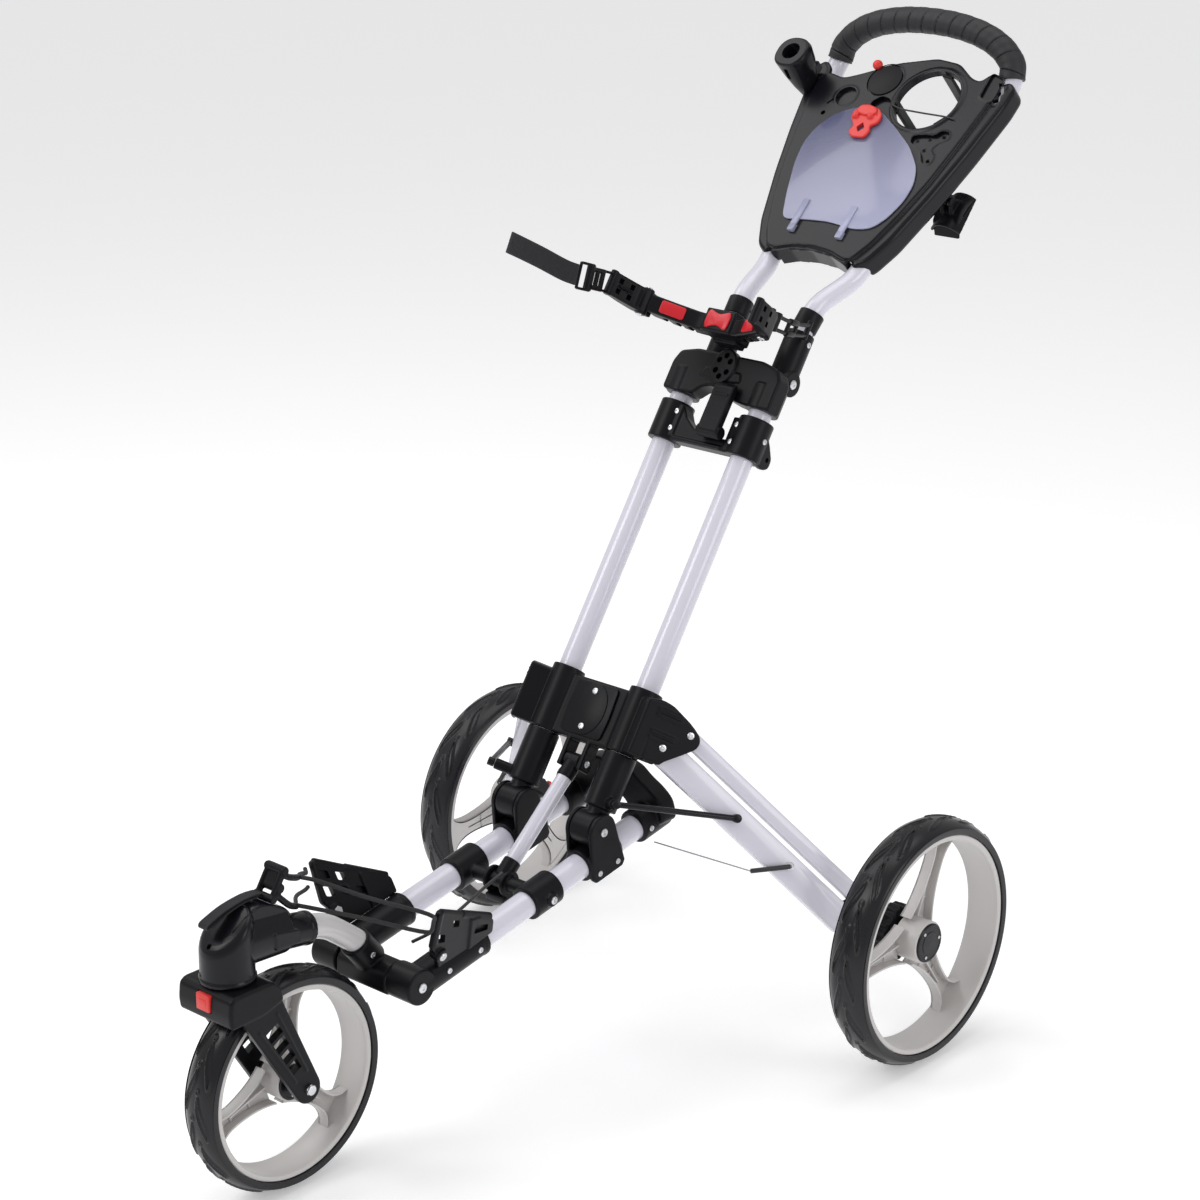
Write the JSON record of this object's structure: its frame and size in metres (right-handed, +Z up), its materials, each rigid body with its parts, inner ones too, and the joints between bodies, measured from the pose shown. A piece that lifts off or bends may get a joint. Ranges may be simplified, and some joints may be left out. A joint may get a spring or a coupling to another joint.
{
  "type": "golf push trolley",
  "caption": "Folding three-wheel golf push trolley with twin-tube mast, sliding leg linkage, swivel front fork, bag cradles, console and wrapped loop handle.",
  "frame": {"origin": "centre of the footprint box on the ground, under the middle of the trolley", "axes": "+Z up; +Y to the rear, towards the person who pushes; +X to that person's left"},
  "size_m": [0.694, 1.2313, 1.1297],
  "materials": {
    "black_plastic": "moulded, fine grain, satin",
    "white_paint": "gloss white powder coat on aluminium tube",
    "rim_grey": "light warm grey moulded plastic",
    "grey_paint": "light grey gloss paint on aluminium tube",
    "tyre_foam": "solid foam tyre, dull",
    "coral_plastic": "red moulded plastic",
    "clear_cover": "clear tinted polycarbonate",
    "grip_tape": "spiral-wrapped grip tape",
    "webbing": "woven nylon webbing",
    "elastic": "braided elastic cord",
    "zinc_steel": "zinc plated steel",
    "cable_sleeve": "steel wire in black sleeve"
  },
  "bodies": {
    "chassis": {"chassis_tube_left": "white_paint", "chassis_tube_right": "white_paint", "front_corner_left": "black_plastic", "front_corner_right": "black_plastic", "strut_yoke": "black_plastic", "mast_clevis_left": "black_plastic", "mast_clevis_right": "black_plastic", "rear_saddle": "black_plastic", "lower_cradle_wing_left": "black_plastic", "lower_cradle_wing_right": "black_plastic", "lower_elastic": "elastic", "lower_strap": "webbing", "control_cable_front": "cable_sleeve"},
    "front_arm": {"front_hinge_bar": "black_plastic", "gooseneck_tube": "grey_paint", "steering_head": "black_plastic"},
    "steering_fork": {"front_fork": "black_plastic", "front_axle": "zinc_steel"},
    "lock_button": {"swivel_lock_button": "coral_plastic"},
    "front_wheel": {"front_tyre": "tyre_foam", "front_rim": "rim_grey"},
    "strut": {"strut": "white_paint"},
    "mast": {"mast_foot_left": "black_plastic", "mast_foot_right": "black_plastic", "mast_tube_left": "white_paint", "mast_tube_right": "white_paint", "mid_collar": "black_plastic", "upper_bracket": "black_plastic", "cradle_bar": "black_plastic", "elastic_cord": "elastic"},
    "main_block": {"main_block": "black_plastic", "block_cover": "black_plastic"},
    "handle": {"handle_sleeve_left": "black_plastic", "handle_sleeve_right": "black_plastic", "handle_tube": "white_paint", "handle_grip": "grip_tape", "console": "black_plastic", "umbrella_holder": "black_plastic", "cup_holder": "black_plastic"},
    "scorecard_cover": {"scorecard_cover": "clear_cover"},
    "card_clip": {"card_clip": "coral_plastic"},
    "brake_lever": {"brake_lever": "black_plastic"},
    "fold_latch": {"fold_latch": "black_plastic"},
    "cradle_end_left": {"cradle_end_left": "black_plastic"},
    "cradle_end_right": {"cradle_end_right": "black_plastic", "bag_strap": "webbing"},
    "leg_left": {"leg_main_left": "white_paint"},
    "link_left": {"leg_link_left": "white_paint"},
    "carrier_left": {"wheel_carrier_left": "black_plastic"},
    "rear_wheel_left": {"rear_tyre_left": "tyre_foam", "rear_rim_left": "rim_grey"},
    "spreader_left": {"spreader_rod_left": "black_plastic"},
    "brake_cable_left": {"brake_cable_left": "cable_sleeve"},
    "leg_right": {"leg_main_right": "white_paint"},
    "link_right": {"leg_link_right": "white_paint"},
    "carrier_right": {"wheel_carrier_right": "black_plastic"},
    "rear_wheel_right": {"rear_tyre_right": "tyre_foam", "rear_rim_right": "rim_grey"},
    "spreader_right": {"spreader_rod_right": "black_plastic"},
    "brake_cable_right": {"brake_cable_right": "cable_sleeve"}
  },
  "joints": [
    {"name": "mast_fold", "type": "hinge", "parent": "chassis", "child": "mast", "pos_m": [0, -0.0793, 0.2915], "axis": [1, 0, 0], "range_deg": [0, 110]},
    {"name": "block_slide", "type": "slide", "parent": "mast", "child": "main_block", "axis": [0, 0.5635, 0.8261], "range_m": [0, 0.14957]},
    {"name": "strut_swing", "type": "hinge", "parent": "chassis", "child": "strut", "pos_m": [0, -0.1643, 0.239], "axis": [1, 0, 0], "range_deg": [0, 98.43]},
    {"name": "leg_swing_left", "type": "hinge", "parent": "main_block", "child": "leg_left", "pos_m": [0.1, -0.0122, 0.379], "axis": [-0.8119, 0.4823, -0.329], "range_deg": [0, 46.27]},
    {"name": "link_swing_left", "type": "hinge", "parent": "main_block", "child": "link_left", "pos_m": [0.11454, 0.01859, 0.38826], "axis": [-0.8119, 0.4823, -0.329], "range_deg": [0, 46.27]},
    {"name": "carrier_swing_left", "type": "hinge", "parent": "leg_left", "child": "carrier_left", "pos_m": [0.26, 0.11817, 0.17528], "axis": [0.8119, -0.4823, 0.329], "range_deg": [0, 46.27]},
    {"name": "rear_wheel_spin_left", "type": "hinge", "parent": "carrier_left", "child": "rear_wheel_left", "pos_m": [0.323, 0.1857, 0.146], "axis": [1, 0, 0], "continuous": true},
    {"name": "spreader_swing_left", "type": "hinge", "parent": "mast", "child": "spreader_left", "pos_m": [0.0962, -0.07934, 0.33038], "axis": [0.8119, -0.4823, 0.329], "range_deg": [0, 42.3]},
    {"name": "brake_cable_swing_left", "type": "hinge", "parent": "chassis", "child": "brake_cable_left", "pos_m": [0.079, 0.0047, 0.254], "axis": [0.2182, -0.5706, -0.7917], "range_deg": [0, 89.8]},
    {"name": "leg_swing_right", "type": "hinge", "parent": "main_block", "child": "leg_right", "pos_m": [-0.1, -0.0122, 0.379], "axis": [-0.8119, -0.4823, 0.329], "range_deg": [0, 46.27]},
    {"name": "link_swing_right", "type": "hinge", "parent": "main_block", "child": "link_right", "pos_m": [-0.11454, 0.01859, 0.38826], "axis": [-0.8119, -0.4823, 0.329], "range_deg": [0, 46.27]},
    {"name": "carrier_swing_right", "type": "hinge", "parent": "leg_right", "child": "carrier_right", "pos_m": [-0.26, 0.11817, 0.17528], "axis": [0.8119, 0.4823, -0.329], "range_deg": [0, 46.27]},
    {"name": "rear_wheel_spin_right", "type": "hinge", "parent": "carrier_right", "child": "rear_wheel_right", "pos_m": [-0.323, 0.1857, 0.146], "axis": [1, 0, 0], "continuous": true},
    {"name": "spreader_swing_right", "type": "hinge", "parent": "mast", "child": "spreader_right", "pos_m": [-0.0962, -0.07934, 0.33038], "axis": [0.8119, 0.4823, -0.329], "range_deg": [0, 42.3]},
    {"name": "brake_cable_swing_right", "type": "hinge", "parent": "chassis", "child": "brake_cable_right", "pos_m": [-0.079, 0.0047, 0.254], "axis": [0.2182, 0.5706, 0.7917], "range_deg": [0, 89.8]},
    {"name": "front_arm_fold", "type": "hinge", "parent": "chassis", "child": "front_arm", "pos_m": [0, -0.3623, 0.203], "axis": [1, 0, 0], "range_deg": [0, 95.2]},
    {"name": "fork_swivel", "type": "hinge", "parent": "front_arm", "child": "steering_fork", "pos_m": [0, -0.5623, 0.26], "axis": [0, 0, 1], "continuous": true},
    {"name": "front_wheel_spin", "type": "hinge", "parent": "steering_fork", "child": "front_wheel", "pos_m": [0, -0.4933, 0.123], "axis": [1, 0, 0], "continuous": true},
    {"name": "swivel_lock_press", "type": "slide", "parent": "steering_fork", "child": "lock_button", "axis": [0, 1, 0], "range_m": [0, 0.0035], "stiffness_N_per_m": 400},
    {"name": "handle_fold", "type": "hinge", "parent": "mast", "child": "handle", "pos_m": [0, 0.25497, 0.73894], "axis": [-1, 0, 0], "range_deg": [0, 120]},
    {"name": "fold_latch_lift", "type": "hinge", "parent": "mast", "child": "fold_latch", "pos_m": [0, 0.16656, 0.69273], "axis": [1, 0, 0], "range_deg": [0, 50]},
    {"name": "cradle_end_turn_left", "type": "hinge", "parent": "mast", "child": "cradle_end_left", "pos_m": [0.086, 0.18923, 0.81647], "axis": [0, 0.5635, 0.8261], "range_deg": [0, 35]},
    {"name": "cradle_end_turn_right", "type": "hinge", "parent": "mast", "child": "cradle_end_right", "pos_m": [-0.086, 0.18923, 0.81647], "axis": [0, -0.5635, -0.8261], "range_deg": [0, 35]},
    {"name": "scorecard_cover_open", "type": "hinge", "parent": "handle", "child": "scorecard_cover", "pos_m": [0, 0.39041, 0.89706], "axis": [1, 0, 0], "range_deg": [0, 100]},
    {"name": "card_clip_lift", "type": "hinge", "parent": "scorecard_cover", "child": "card_clip", "pos_m": [-0.028, 0.51575, 1.02133], "axis": [-1, 0, 0], "range_deg": [0, 20], "stiffness_Nm_per_rad": 0.05},
    {"name": "brake_lever_pull", "type": "hinge", "parent": "handle", "child": "brake_lever", "pos_m": [0.112, 0.48169, 0.92522], "axis": [1, 0, 0], "range_deg": [0, 25]}
  ],
  "couplings": [
    {"joint": "block_slide", "follows": "mast_fold", "m_per_rad": 0.077646},
    {"joint": "strut_swing", "follows": "mast_fold", "ratio": 0.89297},
    {"joint": "leg_swing_left", "follows": "mast_fold", "ratio": 0.41886},
    {"joint": "link_swing_left", "follows": "mast_fold", "ratio": 0.41886},
    {"joint": "carrier_swing_left", "follows": "mast_fold", "ratio": 0.41886},
    {"joint": "spreader_swing_left", "follows": "mast_fold", "ratio": 0.38272},
    {"joint": "brake_cable_swing_left", "follows": "mast_fold", "ratio": 0.81454},
    {"joint": "leg_swing_right", "follows": "mast_fold", "ratio": 0.41886},
    {"joint": "link_swing_right", "follows": "mast_fold", "ratio": 0.41886},
    {"joint": "carrier_swing_right", "follows": "mast_fold", "ratio": 0.41886},
    {"joint": "spreader_swing_right", "follows": "mast_fold", "ratio": 0.38272},
    {"joint": "brake_cable_swing_right", "follows": "mast_fold", "ratio": 0.81454},
    {"joint": "front_arm_fold", "follows": "mast_fold", "ratio": 0.86364}
  ]
}
